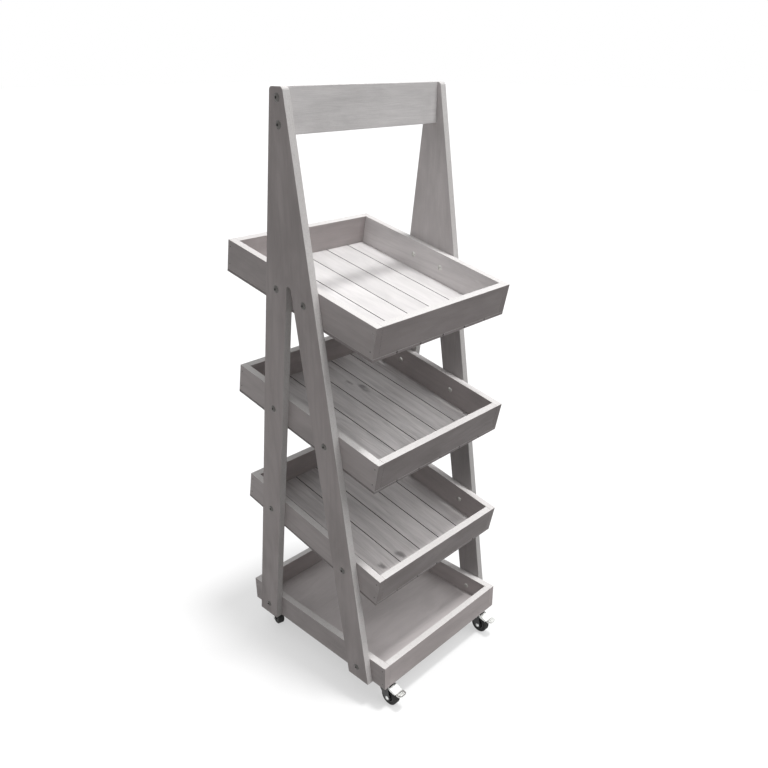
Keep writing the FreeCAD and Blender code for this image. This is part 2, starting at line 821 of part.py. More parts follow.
def make_castors():
    """Write the four castors, and return the screws that hold them."""
    plate, pin_rivet, balls, screws = castor_plate(), kingpin(), race_balls(), castor_screws()
    axle = riveted_pin(axle_diameter, axle_head_diameter, axle_head_height, axle_y, axle_z)
    pivot = riveted_pin(pedal_pin_diameter, pedal_pin_head_diameter, pedal_pin_head_height,
                        -pedal_pivot_forward, pedal_pivot_z)
    groups = {"swivel_kingpins": [], "swivel_balls": [], "castor_screws": []}
    for name, spot, turn, has_pedal in castor_spots():
        pieces = {"mounting_plate": placed(plate, spot, 0),
                  "fork": placed(fork(has_pedal), spot, turn),
                  "axle": placed(axle, spot, turn),
                  "wheel_hub": placed(hub(), spot, turn),
                  "tyre": placed(tyre(), spot, turn)}
        if has_pedal:
            pieces["brake_pedal"] = placed(brake_pedal(), spot, turn)
            pieces["pedal_pivot"] = placed(pivot, spot, turn)
        for piece_name, shape in pieces.items():
            save(name + "_" + piece_name, [shape])
        groups["swivel_kingpins"].append(placed(pin_rivet, spot, 0))
        groups["swivel_balls"] += [placed(ball, spot, 0) for ball in balls]
        groups["castor_screws"] += [placed(screw, spot, 0) for screw in screws]
    for group_name, solids in groups.items():
        save(group_name, solids)
    return groups["castor_screws"]


os.makedirs("parts", exist_ok=True)
save("side_panel_left", [side_panel(-1)])
save("side_panel_right", [side_panel(1)])
save("handle_board", [handle_board()])
save("handle_bolts", handle_bolts())
save("handle_insert_nuts", handle_inserts())
save("tray_bolts", tray_bolts())
save("tray_cap_nuts", tray_nuts())
wall_nails, floor_board_nails = make_tilted_trays()
save("tilted_tray_nails", wall_nails)
save("floor_board_nails", floor_board_nails)
save("base_tray_nails", make_base_tray(make_castors()))
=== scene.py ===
import json
import math

import bmesh
import bpy
from bpy.props import FloatProperty, FloatVectorProperty, IntProperty, PointerProperty
from mathutils import Euler, Matrix, Vector


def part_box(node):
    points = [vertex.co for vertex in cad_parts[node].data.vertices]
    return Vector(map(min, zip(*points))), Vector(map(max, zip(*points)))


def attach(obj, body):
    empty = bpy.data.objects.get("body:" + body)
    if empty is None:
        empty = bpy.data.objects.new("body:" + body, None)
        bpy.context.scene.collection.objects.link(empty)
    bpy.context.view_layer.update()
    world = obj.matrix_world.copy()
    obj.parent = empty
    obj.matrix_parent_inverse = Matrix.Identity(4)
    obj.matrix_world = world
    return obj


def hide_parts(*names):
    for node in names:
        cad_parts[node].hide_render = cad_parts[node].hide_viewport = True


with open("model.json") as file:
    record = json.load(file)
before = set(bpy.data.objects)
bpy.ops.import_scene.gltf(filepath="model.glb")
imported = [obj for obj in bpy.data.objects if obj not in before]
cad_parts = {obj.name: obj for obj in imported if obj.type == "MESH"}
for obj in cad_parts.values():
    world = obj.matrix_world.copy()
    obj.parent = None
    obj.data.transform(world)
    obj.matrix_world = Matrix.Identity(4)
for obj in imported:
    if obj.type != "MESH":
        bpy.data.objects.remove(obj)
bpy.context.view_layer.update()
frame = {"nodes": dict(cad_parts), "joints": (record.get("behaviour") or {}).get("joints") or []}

bl_info = {
    "name": "Plant display cart",
    "version": (1, 0, 0),
    "blender": (4, 5, 0),
    "location": "View3D > Sidebar > Cart",
    "description": "Paint, hardware and castors of a tiered wooden display cart",
    "category": "Object",
}

MM = 0.001
TRAYS = ("lower_tray", "middle_tray", "top_tray")
CASTORS = ("front_left", "front_right", "rear_left", "rear_right")
TRAY_TILT = math.radians(12)
SLATS = 6

# Painted light and shade: how light the paint is on each board, as a share of the plain paint,
# lighter where more light falls and darker where less.
HANDLE_LIT_TONE, LEFT_PANEL_LIT_TONE, RIGHT_PANEL_LIT_TONE = 1.85, 1.15, 1.60
FRONT_LIT_TONES = {"top_tray": 0.71, "middle_tray": 0.58, "lower_tray": 0.64, "base_tray": 1.08}
RIGHT_LIT_TONES = {"top_tray": 1.75, "middle_tray": 1.15, "lower_tray": 1.15, "base_tray": 1.25}
LEFT_LIT_TONE, REAR_LIT_TONE = 1.24, 1.15
FLOOR_LIT_TONES = {"top_tray": 1.85, "middle_tray": 1.76, "lower_tray": 1.66, "base_tray": 1.44}
# Painted shade: the right panel darkens downwards between these heights to this share of its tone
# at its legs.
SHADE_FADE_FROM, SHADE_FADE_TO, LEG_SHADE_SHARE = 1.05, 0.55, 0.66
# How strongly the grain shows on the boards and on each floor.
BOARD_FIGURE = 0.75
FLOOR_FIGURES = {"top_tray": 0.7, "middle_tray": 2.4, "lower_tray": 1.9, "base_tray": 0.45}
# Knots: millimetres from a floor's middle along its width and its slope, and their radius.
KNOTS = {"top_tray": (), "middle_tray": ((61, 86, 9), (44, 112, 7), (-96, 66, 6)),
         "lower_tray": ((-124, -176, 6), (-57, -175, 6))}


# ---- Sizes and colours that a user would change ----

def colour(label, hint, value):
    """Colour setting in the scene's own linear values."""
    return FloatVectorProperty(name=label, description=hint, default=value, subtype="COLOR",
                               size=3, min=0, max=1)


def length(label, hint, millimetres):
    """Length setting, its default given in millimetres."""
    return FloatProperty(name=label, description=hint, default=millimetres * MM, unit="LENGTH")


def share(label, hint, value):
    """Setting from nothing to full strength."""
    return FloatProperty(name=label, description=hint, default=value, min=0, soft_max=1,
                         subtype="FACTOR")


def brightness(label, hint, value):
    """Strength of a light."""
    return FloatProperty(name=label, description=hint, default=value, min=0)


def angle(label, hint, degrees):
    """Angle setting, its default given in degrees."""
    return FloatProperty(name=label, description=hint, default=math.radians(degrees),
                         subtype="ANGLE")


class CartPaint(bpy.types.PropertyGroup):
    face: colour("Face", "Paint on the boards' broad faces", (0.415, 0.373, 0.369))
    # Painted highlight: a paler colour on the narrow edges and the walls' tops, where the light
    # falls strongest.
    edge: colour("Edge", "Paler paint on the boards' narrow edges", (0.680, 0.665, 0.655))
    shade: colour("Shade", "Darker patches in the paint", (0.205, 0.186, 0.183))
    # The knots' own dark colour, and painted shade on the slats' side faces in the gaps between
    # them.
    knot_and_gap_shade: colour("Dark", "Knots and the gaps between the slats", (0.060, 0.052, 0.050))
    worn: colour("Worn arris", "Bare sanded line along each sharp edge", (0.76, 0.74, 0.72))
    mottling: share("Mottling", "Strength of the cloudy patches", 0.34)
    grain: share("Grain", "Strength of the grain that shows through", 0.40)
    dirt: share("Dirt", "Specks on the narrow edges", 0.40)
    wear: share("Wear", "Strength of the rubbed edges", 0.50)
    relief: length("Relief", "Depth of the grain's relief", 0.35)
    roughness: share("Roughness", "Roughness of the matt paint", 0.58)


class CartMetal(bpy.types.PropertyGroup):
    bolt: colour("Bolts", "Dark nickel plate", (0.095, 0.092, 0.088))
    nut: colour("Cap nuts", "Paler nickel plate", (0.62, 0.615, 0.59))
    zinc: colour("Zinc", "Bright zinc plate", (0.74, 0.75, 0.74))
    pedal: colour("Pedal zinc", "Bright zinc of the pressed pedals", (0.86, 0.87, 0.85))
    black: colour("Black coat", "Coating of forks and plates", (0.022, 0.022, 0.023))
    plastic: colour("Hub plastic", "Moulded hub", (0.030, 0.030, 0.031))
    rubber: colour("Rubber", "Tyre rubber", (0.020, 0.020, 0.020))
    dust: colour("Dust", "Floor dust on the tread", (0.19, 0.18, 0.165))
    nail: colour("Nails", "Painted nail heads", (0.21, 0.20, 0.195))


class CartCastor(bpy.types.PropertyGroup):
    wheel_steps: IntProperty(name="Wheel steps", description="Steps round the wheel",
                             default=72, min=24)
    groove_depth: length("Groove depth", "Depth of the tyre's tread grooves", 0.8)
    groove_width: length("Groove width", "Width of the tyre's tread grooves", 1.3)
    groove_place: length("Groove place", "Grooves' distance from the wheel's middle", 3.4)
    shoulder: length("Shoulder", "Rounding of the tyre's shoulders", 3.2)
    flank: length("Flank", "Depth of the hollow in the tyre's flank", 0.6)
    rim_wall: length("Rim wall", "Thickness of the hub's rim", 3.0)
    rim_width: length("Rim width", "Width of the hub's rim", 17.0)
    web: length("Web", "Thickness of the hub's web", 5.0)
    boss: length("Boss", "Diameter of the hub's boss", 14.0)
    bore: length("Bore", "Diameter of the hub's bore", 6.12)
    rib_count: IntProperty(name="Hub ribs", description="Ribs between boss and rim",
                           default=8, min=3)
    rib: length("Rib", "Thickness of the hub's ribs", 2.0)
    crown_low: length("Crown", "Height of the fork crown's underside", 66.9)
    crown: length("Crown thickness", "Thickness of the fork's crown", 2.5)
    crown_front: length("Crown front", "Reach of the crown over the wheel", 23.0)
    crown_rear: length("Crown rear", "Reach of the crown behind the swivel axis", 15.0)
    cheek_gap: length("Cheek gap", "Room between the fork's cheeks", 25.0)
    sheet: length("Fork sheet", "Thickness of the fork's cheeks", 2.0)
    eye: length("Eye", "Radius of the cheeks round the axle", 9.0)
    skirt: length("Skirt", "Depth of the crown's turned-down sides", 2.0)
    cup_wall: length("Cup wall", "Thickness of the dust cup", 2.0)
    burr: length("Burr", "Rounding of cut and moulded edges", 0.35)


class CartPedal(bpy.types.PropertyGroup):
    reach: length("Reach", "Distance of the pedal's tip from the swivel axis", 69.0)
    width: length("Width", "Width over the pedal's sides", 24.0)
    tab_width: length("Tab width", "Width of the toe tab", 27.0)
    sheet: length("Sheet", "Thickness of the pedal's steel", 1.6)
    back: length("Back", "Distance of the plate's rear edge from the swivel axis", 29.0)
    back_top: length("Back height", "Height of the plate's rear edge", 62.5)
    bend: length("Bend", "Distance of the bend from the swivel axis", 51.0)
    bend_top: length("Bend height", "Height of the plate at the bend", 54.2)
    tip_top: length("Tip height", "Height of the toe tab's tip", 55.4)
    tip_round: length("Tip rounding", "Rounding of the toe tab's corners", 9.0)
    heel: length("Heel", "Distance of the sides' rear end from the swivel axis", 7.0)
    pin_height: length("Pin height", "Height of the pivot pin", 57.5)
    pin_forward: length("Pin place", "Distance of the pivot pin from the swivel axis", 13.0)
    side_depth: length("Side depth", "Depth of the turned-down sides at the front", 6.5)
    tongue: length("Tongue", "Distance of the brake tongue from the swivel axis", 38.0)
    tongue_width: length("Tongue width", "Width of the brake tongue", 14.0)
    pressing: length("Pressing", "Height of the pedal's pressed ribs", 0.8)


class CartStudio(bpy.types.PropertyGroup):
    floor_colour: colour("Floor", "Pale floor as the camera sees it", (0.93, 0.93, 0.93))
    floor_bounce: colour("Floor bounce", "Floor as the cart's underside sees it",
                         (0.13, 0.127, 0.125))
    sky_low: brightness("Low sky", "Light from the sides", 0.12)
    sky_high: brightness("High sky", "Light from overhead", 0.9)
    key_strength: brightness("Key", "Strength of the overhead lamp", 1.9)
    key_height: angle("Key height", "Lamp's height over the horizon", 78)
    key_side: angle("Key side", "Lamp's turn from the front to +X", 24)
    key_softness: angle("Key softness", "Width of the lamp in the sky", 8)
    fill_strength: brightness("Fill", "Strength of the wide front lamp", 1.0)
    fill_height: angle("Fill height", "Fill's height over the horizon", 48)
    fill_side: angle("Fill side", "Fill's turn from the front to +X", 28)
    fill_softness: angle("Fill softness", "Width of the fill in the sky", 46)
    floor_glow: share("Floor glow", "Share of the floor's seen white that no shadow darkens", 0.55)
    camera_place: FloatVectorProperty(name="Camera", description="Place of the camera",
                                      default=(-1.2259, -1.2424, 1.5299), subtype="TRANSLATION")
    camera_turn: angle("Camera turn", "Turn from the cart's front to +X", 47.195)
    camera_dip: angle("Camera dip", "How far it looks down", 25.593)
    camera_roll: angle("Camera roll", "Roll of the camera", 0.317)
    camera_lens: FloatProperty(name="Lens", description="Focal length in millimetres",
                               default=35.02)
    camera_shift: FloatVectorProperty(name="Shift", description="Shift of the view",
                                      default=(-0.0282, 0.0394), size=2)


# ---- Materials ----

class Nodes:
    """A node tree, with short calls to add and join its nodes."""

    def __init__(self, tree):
        self.tree = tree

    def add(self, kind, inputs=None, **settings):
        """New node, its settings and inputs given; an input may be another node's output."""
        node = self.tree.nodes.new(kind)
        for key, value in settings.items():
            setattr(node, key, value)
        for key, value in (inputs or {}).items():
            self.feed(node, key, value)
        return node

    def feed(self, node, key, value):
        """Join an output to an input, or set the input's own value."""
        if isinstance(value, bpy.types.NodeSocket):
            self.tree.links.new(value, node.inputs[key])
        else:
            node.inputs[key].default_value = value

    def between(self, value, low, high, out_low=0.0, out_high=1.0):
        """Value mapped smoothly from one range to another, and kept inside it."""
        return self.add("ShaderNodeMapRange", {
            "Value": value, "From Min": low, "From Max": high, "To Min": out_low,
            "To Max": out_high}, interpolation_type="SMOOTHSTEP").outputs[0]

    def math(self, operation, first, second=0.0):
        """One sum on two values."""
        return self.add("ShaderNodeMath", {0: first, 1: second}, operation=operation).outputs[0]

    def seen(self):
        """One for rays that come from the camera, a mirror or glass, nothing for lighting rays."""
        path = self.add("ShaderNodeLightPath").outputs
        mirrored = self.math("MAXIMUM", path["Is Glossy Ray"], path["Is Transmission Ray"])
        return self.math("MAXIMUM", path["Is Camera Ray"], mirrored)


class Shader(Nodes):
    """The nodes of a new material, on its principled surface."""

    def __init__(self, name):
        self.material = bpy.data.materials.new(name)
        self.material.use_nodes = True
        super().__init__(self.material.node_tree)
        self.surface = self.tree.nodes["Principled BSDF"]

    def coords(self, kind):
        """One of the coordinates that the surface gives."""
        return self.add("ShaderNodeTexCoord").outputs[kind]

    def along_axis(self, axis):
        """Place on the surface along X, Y or Z, in metres."""
        return self.add("ShaderNodeSeparateXYZ", {0: self.coords("Object")}).outputs[axis]

    def place(self, turn=(0, 0, 0), offset=(0, 0, 0)):
        """Object coordinates, turned and moved."""
        return self.add("ShaderNodeMapping", {"Vector": self.coords("Object"), "Rotation": turn,
                                              "Location": offset}).outputs[0]

    def stretch(self, coords, scale):
        """Coordinates scaled along each axis."""
        return self.add("ShaderNodeMapping", {"Vector": coords, "Scale": scale}).outputs[0]

    def noise(self, coords, scale, detail, roughness, distortion=0):
        """Cloudy value from 0 to 1."""
        return self.add("ShaderNodeTexNoise", {
            "Vector": coords, "Scale": scale, "Detail": detail, "Roughness": roughness,
            "Distortion": distortion}).outputs["Fac"]

    def drawn(self, coords, pattern):
        """Noise drawn out along the board."""
        along, *noise = pattern
        return self.noise(self.stretch(coords, (along, 1, 1)), *noise)

    def dot(self, first, second):
        """Agreement of two directions."""
        return self.add("ShaderNodeVectorMath", {0: first, 1: second},
                        operation="DOT_PRODUCT").outputs["Value"]

    def mix(self, factor, first, second, blend="MIX"):
        """Colour between two colours, or the first blended with the second."""
        return self.add("ShaderNodeMix", {0: factor, 6: as_colour(first), 7: as_colour(second)},
                        data_type="RGBA", blend_type=blend).outputs[2]

    def bump(self, height, distance, strength):
        """Relief on the surface from a height."""
        normal = self.add("ShaderNodeBump", {"Height": height, "Distance": distance,
                                             "Strength": strength}).outputs[0]
        self.feed(self.surface, "Normal", normal)

    def set(self, **values):
        """Inputs of the surface shader, underscores standing for spaces."""
        for key, value in values.items():
            name = key.replace("_", " ")
            self.feed(self.surface, name, as_colour(value) if name == "Base Color" else value)


def as_colour(value):
    """A colour setting with full alpha; an output passes through."""
    if isinstance(value, bpy.types.NodeSocket):
        return value
    return (value[0], value[1], value[2], 1.0)


def scaled(tint, amount):
    """Colour made lighter or darker."""
    return tuple(min(1.0, channel * amount) for channel in tint)


def toned(tint, amount):
    """Paint made lighter or darker, the lighter the greyer."""
    grey = sum(tint) / len(tint)
    fading = 0.85
    fade = min(1.0, max(0.0, amount - 1) * fading)
    return scaled([channel + (grey - channel) * fade for channel in tint], amount)


GRAIN_TURNS = {
    "across": (0, 0, 0),
    "level": (0, 0, math.radians(-90)),
    "tilted": (-TRAY_TILT, 0, math.radians(-90)),
    "upright": (0, math.radians(90), 0),
}
FORWARD = {"level": (0, -1, 0), "tilted": (0, -math.cos(TRAY_TILT), -math.sin(TRAY_TILT))}
WAY_UP = {"level": (0, 0, 1), "tilted": (0, -math.sin(TRAY_TILT), math.cos(TRAY_TILT))}


# Patterns drawn out along the board: stretch, scale, detail, roughness and any distortion.
CLOUDS = (0.42, 13, 5, 0.6, 0.4)
WASH = (0.8, 3.5, 3, 0.5)
STREAKS = (0.09, 70, 5, 0.62, 0.3)
FIBRE = (0.035, 520, 3, 0.6)
RINGS = (0.13, 8, 2, 0.4)
RING_LINES = 85
# Even patterns: scale, detail and roughness.
SPECKLE = (420, 3, 0.7)
KNOT_RAGS = (48, 3, 0.5)

# How far each pattern carries the paint to its darker or paler tint.
CLOUD_PART, WASH_PART = 0.65, 0.35
RING_SHARE, STREAK_SHARE, THREAD_SHARE = 0.42, 0.5, 0.35
SPECK_SHARE, END_SPECK_SHARE = 0.18, 0.3
SLAT_SHARE, KNOT_SHARE = 0.25, 0.6
THREAD_PALENESS, END_PALENESS, SOIL_DARKNESS = 1.35, 0.93, 0.9
# How far each board's grain lies from the last one's, in metres along X, Y and Z.
SEED_STEPS = (1.37, 0.71, 0.53)


class Wood:
    """The patterns in one board or one row of slats, from 0 to 1. A pair of numbers after a
    pattern is where it begins to show and where it is full."""

    def __init__(self, shader, along):
        self.clouds = shader.drawn(along, CLOUDS)
        self.wash = shader.drawn(along, WASH)
        self.lines = shader.between(shader.drawn(along, STREAKS), 0.42, 0.70)
        self.threads = shader.between(shader.drawn(along, FIBRE), 0.35, 0.7)
        self.speckle = shader.noise(along, *SPECKLE)
        self.specks = shader.between(self.speckle, 0.60, 0.72)
        wave = shader.math("SINE", shader.math("MULTIPLY", shader.drawn(along, RINGS), RING_LINES))
        self.rings = shader.between(wave, 0.05, 0.95)


def slat_rolls(shader, boards, seed):
    """Each slat's own random colour and value, from its place along X."""
    place = shader.math("SUBTRACT", shader.along_axis("X"), boards[0])
    index = shader.math("FLOOR", shader.math("DIVIDE", place, boards[1]))
    return shader.add("ShaderNodeTexWhiteNoise", {"W": shader.math("ADD", index, seed)},
                      noise_dimensions="1D").outputs


def slat_gap_shade(shader, boards):
    """One on the slats' side faces between two slats, for painted shade in the gaps; nothing on
    the floor's outer sides.
    """
    half = -boards[0]
    inside = shader.between(shader.math("ABSOLUTE", shader.along_axis("X")), half - 1 * MM,
                            half - 3 * MM)
    sides = shader.math("ABSOLUTE", shader.dot(shader.coords("Normal"), (1, 0, 0)))
    return shader.math("MULTIPLY", shader.between(sides, 0.4, 0.7), inside)


def knot_spots(shader, knots):
    """Uneven knots, drawn out along the slats, at the given (x, y, radius) places in metres."""
    total = 0.0
    drawn_out = 0.55
    flat = shader.coords("Object")
    ragged = shader.noise(shader.stretch(flat, (1, drawn_out, 1)), *KNOT_RAGS)
    for x, y, radius in knots:
        near = shader.add("ShaderNodeMapping", {
            "Vector": flat, "Location": (-x, -y * drawn_out, 0),
            "Scale": (1, drawn_out, 0)}).outputs[0]
        away = shader.add("ShaderNodeVectorMath", {0: near}, operation="LENGTH").outputs["Value"]
        away = shader.math("ADD", away, shader.between(ragged, 0.3, 0.7, -radius, radius))
        total = shader.math("MAXIMUM", shader.between(away, radius * 1.7, 0.0), total)
    return total


def edge_highlight_mask(shader, edges):
    """One on a board's narrow edges, where a paler paint stands in as painted highlight. edges is
    the way up of a wall, whose top gets it, or the axis through a panel, whose edges get it all
    round."""
    normal = shader.coords("Normal")
    if edges in WAY_UP:
        return shader.between(shader.dot(normal, WAY_UP[edges]), 0.55, 0.8)
    through = shader.math("ABSOLUTE", shader.dot(normal, edges))
    return shader.between(through, 0.75, 0.5)


def rubbed_arris(shader, wood):
    """One along sharp edges, where the paint is rubbed, less where the speckle is thin."""
    true_normal = shader.add("ShaderNodeNewGeometry").outputs["Normal"]
    soft_normal = shader.add("ShaderNodeBevel", {"Radius": 1.8 * MM}, samples=6).outputs[0]
    sharp = shader.between(shader.dot(true_normal, soft_normal), 0.995, 0.86)
    return shader.math("MULTIPLY", sharp, shader.between(wood.speckle, 0.40, 0.60, 0.25, 1.0))


def face_paint(shader, wood, lit_tone, figure):
    """Cloudy wash over a board's face, with its rings, streaks, fibre and specks."""
    paint = bpy.context.scene.cart_paint
    shown = paint.grain * figure
    face, shade = toned(paint.face, lit_tone), toned(paint.shade, lit_tone)
    cloudy = shader.math("ADD", shader.math("MULTIPLY", wood.clouds, CLOUD_PART),
                         shader.math("MULTIPLY", wood.wash, WASH_PART))
    patches = shader.between(cloudy, 0.40, 0.64)
    rings = shader.math("MULTIPLY", wood.rings, shader.between(wood.clouds, 0.62, 0.38, 0.15, 1.0))
    tint = face
    for pattern, part, other in (
            (patches, paint.mottling, shade), (rings, RING_SHARE * shown, shade),
            (wood.lines, STREAK_SHARE * shown, shade),
            (wood.threads, THREAD_SHARE * shown, scaled(face, THREAD_PALENESS)),
            (wood.specks, SPECK_SHARE, shade)):
        tint = shader.mix(shader.math("MULTIPLY", pattern, part), tint, other)
    return tint


def front_light_and_shade(shader, wood, tint, ends, boards):
    """The tray's front tone, painted shade on the tilted trays and painted light on the base, on
    the ends of its side walls, or on all but the slats' faces.
    """
    paint = bpy.context.scene.cart_paint
    lean, lit_tone = ends
    normal = shader.coords("Normal")
    if boards:
        on_end = shader.between(shader.dot(normal, WAY_UP[lean]), 0.7, 0.4)
    else:
        on_end = shader.between(shader.dot(normal, FORWARD[lean]), 0.5, 0.8)
    specks = shader.math("MULTIPLY", wood.specks, END_SPECK_SHARE)
    end = shader.mix(specks, toned(paint.face, lit_tone * END_PALENESS), toned(paint.shade, lit_tone))
    return shader.mix(on_end, tint, end)


def edge_highlight_and_soil(shader, wood, tint, edges):
    """Painted highlight on a board's narrow edges: a paler paint, soiled with specks and washed
    towards the face paint in places.
    """
    paint = bpy.context.scene.cart_paint
    soil = shader.math("MULTIPLY", shader.between(wood.speckle, 0.48, 0.68), paint.dirt)
    highlight_with_soil = shader.mix(soil, paint.edge, scaled(paint.face, SOIL_DARKNESS))
    highlight_with_soil = shader.mix(shader.between(wood.wash, 0.35, 0.7, 0, 0.25), highlight_with_soil, paint.face)
    return shader.mix(edge_highlight_mask(shader, edges), tint, highlight_with_soil)


def painted_wood(name, grain, seed, lit_tone, edges=None, boards=None, knots=(), ends=None,
                 figure=1.0, foot_shade=None):
    """Matt grey paint over board, lighter or darker by its painted light tone: cloudy wash, rings
    and fibre along the board, painted highlight on the edges.

    boards is the first slat's edge and the pitch along X, where one piece holds several slats.
    ends is the lean and the tone of what shows on a tray's front, its painted light and shade, and
    figure the grain's share.
    The last argument gives a painted shade: the paint's share of its tone at the foot of a board
    that darkens downwards.
    """
    paint = bpy.context.scene.cart_paint
    shader = Shader(name)
    along = shader.place(GRAIN_TURNS[grain], [seed * step for step in SEED_STEPS])
    if boards:
        roll = slat_rolls(shader, boards, seed)
        along = shader.add("ShaderNodeVectorMath", {0: along, 1: roll["Color"]},
                           operation="ADD").outputs[0]
    wood = Wood(shader, along)
    tint = face_paint(shader, wood, lit_tone, figure)
    if boards:
        tint = shader.mix(shader.math("MULTIPLY", roll["Value"], SLAT_SHARE), tint,
                          toned(paint.shade, lit_tone))
    if knots:
        tint = shader.mix(shader.math("MULTIPLY", knot_spots(shader, knots), KNOT_SHARE), tint,
                          paint.knot_and_gap_shade)
    # Painted light and shade of the tray's front on the side walls' ends and on the slats' ends
    # and undersides.
    if ends:
        tint = front_light_and_shade(shader, wood, tint, ends, boards)
    # Painted highlight on the narrow edges, with real specks of soil.
    if edges:
        tint = edge_highlight_and_soil(shader, wood, tint, edges)
    # Painted shade on the slats' side faces in the gaps between them.
    if boards:
        tint = shader.mix(slat_gap_shade(shader, boards), tint, paint.knot_and_gap_shade)
    else:
        rubbed = rubbed_arris(shader, wood)
        tint = shader.mix(shader.math("MULTIPLY", rubbed, paint.wear), tint, paint.worn)
    # Painted shade: the board darkens towards its foot.
    if foot_shade:
        painted_shade_low = shader.between(shader.along_axis("Z"), SHADE_FADE_FROM, SHADE_FADE_TO)
        tint = shader.mix(painted_shade_low, tint, (foot_shade, foot_shade, foot_shade), "MULTIPLY")
    shader.set(Base_Color=tint, Specular_IOR_Level=0.35)
    shader.set(Roughness=shader.between(wood.clouds, 0.3, 0.7, paint.roughness - 0.07,
                                        paint.roughness + 0.08))
    relief = shader.math("ADD", shader.math("MULTIPLY", wood.lines, 0.5),
                         shader.math("MULTIPLY", wood.threads, 0.5))
    relief = shader.math("SUBTRACT", relief, shader.math("MULTIPLY", wood.rings, 0.25))
    shader.bump(relief, paint.relief, 0.5)
    return shader.material


def plated_metal(name, tint, roughness, tarnished=0.4):
    """Plated steel with fine brush marks and faint tarnish."""
    shader = Shader(name)
    coords = shader.place()
    marks = shader.noise(shader.stretch(coords, (1, 0.12, 1)), 900, 3, 0.6)
    tarnish = shader.noise(coords, 90, 4, 0.6)
    dull = shader.between(tarnish, 0.45, 0.75)
    shader.set(Base_Color=shader.mix(shader.math("MULTIPLY", dull, tarnished), tint,
                                     scaled(tint, 0.6)))
    shader.set(Metallic=1.0)
    shader.set(Roughness=shader.between(shader.math("ADD", marks, tarnish), 0.6, 1.4,
                                        roughness - 0.06, roughness + 0.14))
    shader.bump(marks, 0.05 * MM, 0.5)
    return shader.material


def coated_steel(name, tint):
    """Black satin coating with a fine orange-peel surface and rubbed patches."""
    worn = (0.07, 0.07, 0.07)
    shader = Shader(name)
    coords = shader.place()
    peel = shader.noise(coords, 1400, 2, 0.5)
    scuffs = shader.noise(coords, 160, 5, 0.65)
    rubbed = shader.between(scuffs, 0.58, 0.72)
    shader.set(Base_Color=shader.mix(shader.math("MULTIPLY", rubbed, 0.5), tint, worn))
    shader.set(Roughness=shader.between(scuffs, 0.3, 0.7, 0.30, 0.46))
    shader.set(Coat_Weight=0.25, Coat_Roughness=0.25)
    shader.bump(peel, 0.04 * MM, 0.6)
    return shader.material


def moulded_plastic(name, tint):
    """Hub plastic with a fine moulded grain and a faint bloom."""
    pale = (0.06, 0.06, 0.058)
    shader = Shader(name)
    coords = shader.place()
    grain = shader.noise(coords, 2200, 2, 0.5)
    bloom = shader.noise(coords, 60, 4, 0.6)
    shader.set(Base_Color=shader.mix(shader.between(bloom, 0.4, 0.75, 0, 0.5), tint, pale))
    shader.set(Roughness=shader.between(bloom, 0.3, 0.7, 0.38, 0.52))
    shader.bump(grain, 0.03 * MM, 0.6)
    return shader.material


def rubber(name, tint, dust):
    """Tyre rubber, its surface slightly dusty."""
    shader = Shader(name)
    coords = shader.place()
    grain = shader.noise(coords, 1100, 3, 0.6)
    dirt = shader.noise(coords, 110, 5, 0.7)
    amount = shader.between(dirt, 0.45, 0.8, 0, 0.35)
    shader.set(Base_Color=shader.mix(amount, tint, dust))
    shader.set(Roughness=shader.between(dirt, 0.3, 0.7, 0.62, 0.82))
    shader.bump(grain, 0.06 * MM, 0.6)
    return shader.material


def paint_node(node, material):
    """Give a carried-over node one material."""
    mesh = frame["nodes"][node].data
    mesh.materials.clear()
    mesh.materials.append(material)


# ---- Mesh helpers ----

def new_object(name, data):
    """Object in the scene for a mesh, a lamp or a camera."""
    made = bpy.data.objects.new(name, data)
    bpy.context.scene.collection.objects.link(made)
    return made


def mesh_of(name, work):
    """Mesh made from a bmesh, which is freed."""
    mesh = bpy.data.meshes.new(name)
    work.to_mesh(mesh)
    work.free()
    return mesh


def half_size(node):
    """Half of a node's size along X, Y and Z."""
    return [(top - bottom) / 2 for bottom, top in zip(*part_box(node))]


def finished_piece(name, make_mesh, place, body, material, replaced):
    """Piece made in its own axes, set in its place, its cut edges rounded, riding on its body."""
    same_place, sharp = 0.002 * MM, math.radians(38)
    work = bmesh.new()
    make_mesh(work)
    bmesh.ops.transform(work, matrix=place, verts=work.verts)
    bmesh.ops.remove_doubles(work, verts=work.verts, dist=same_place)
    bmesh.ops.recalc_face_normals(work, faces=work.faces)
    mesh = mesh_of(name, work)
    mesh.shade_smooth()
    mesh.materials.append(material)
    piece = new_object(name, mesh)
    burr = piece.modifiers.new("burr", "BEVEL")
    burr.width = bpy.context.scene.cart_castor.burr
    burr.segments = 2
    burr.limit_method = "ANGLE"
    burr.angle_limit = sharp
    burr.harden_normals = True
    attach(piece, body)
    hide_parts(replaced)
    return piece


def bevel(work, edges, offset, segments):
    """Round the given edges."""
    bmesh.ops.bevel(work, geom=edges, offset=offset, affect="EDGES", segments=segments,
                    profile=0.5, material=-1, clamp_overlap=True)


def block(work, low, high):
    """Box between two corners."""
    verts = bmesh.ops.create_cube(work, size=1)["verts"]
    low, high = Vector(low), Vector(high)
    bmesh.ops.scale(work, vec=high - low, verts=verts)
    bmesh.ops.translate(work, vec=(low + high) / 2, verts=verts)
    return verts


def edges_at(work, is_there):
    """Edges whose two ends both pass a test of place."""
    return [edge for edge in work.edges if all(is_there(vert.co) for vert in edge.verts)]


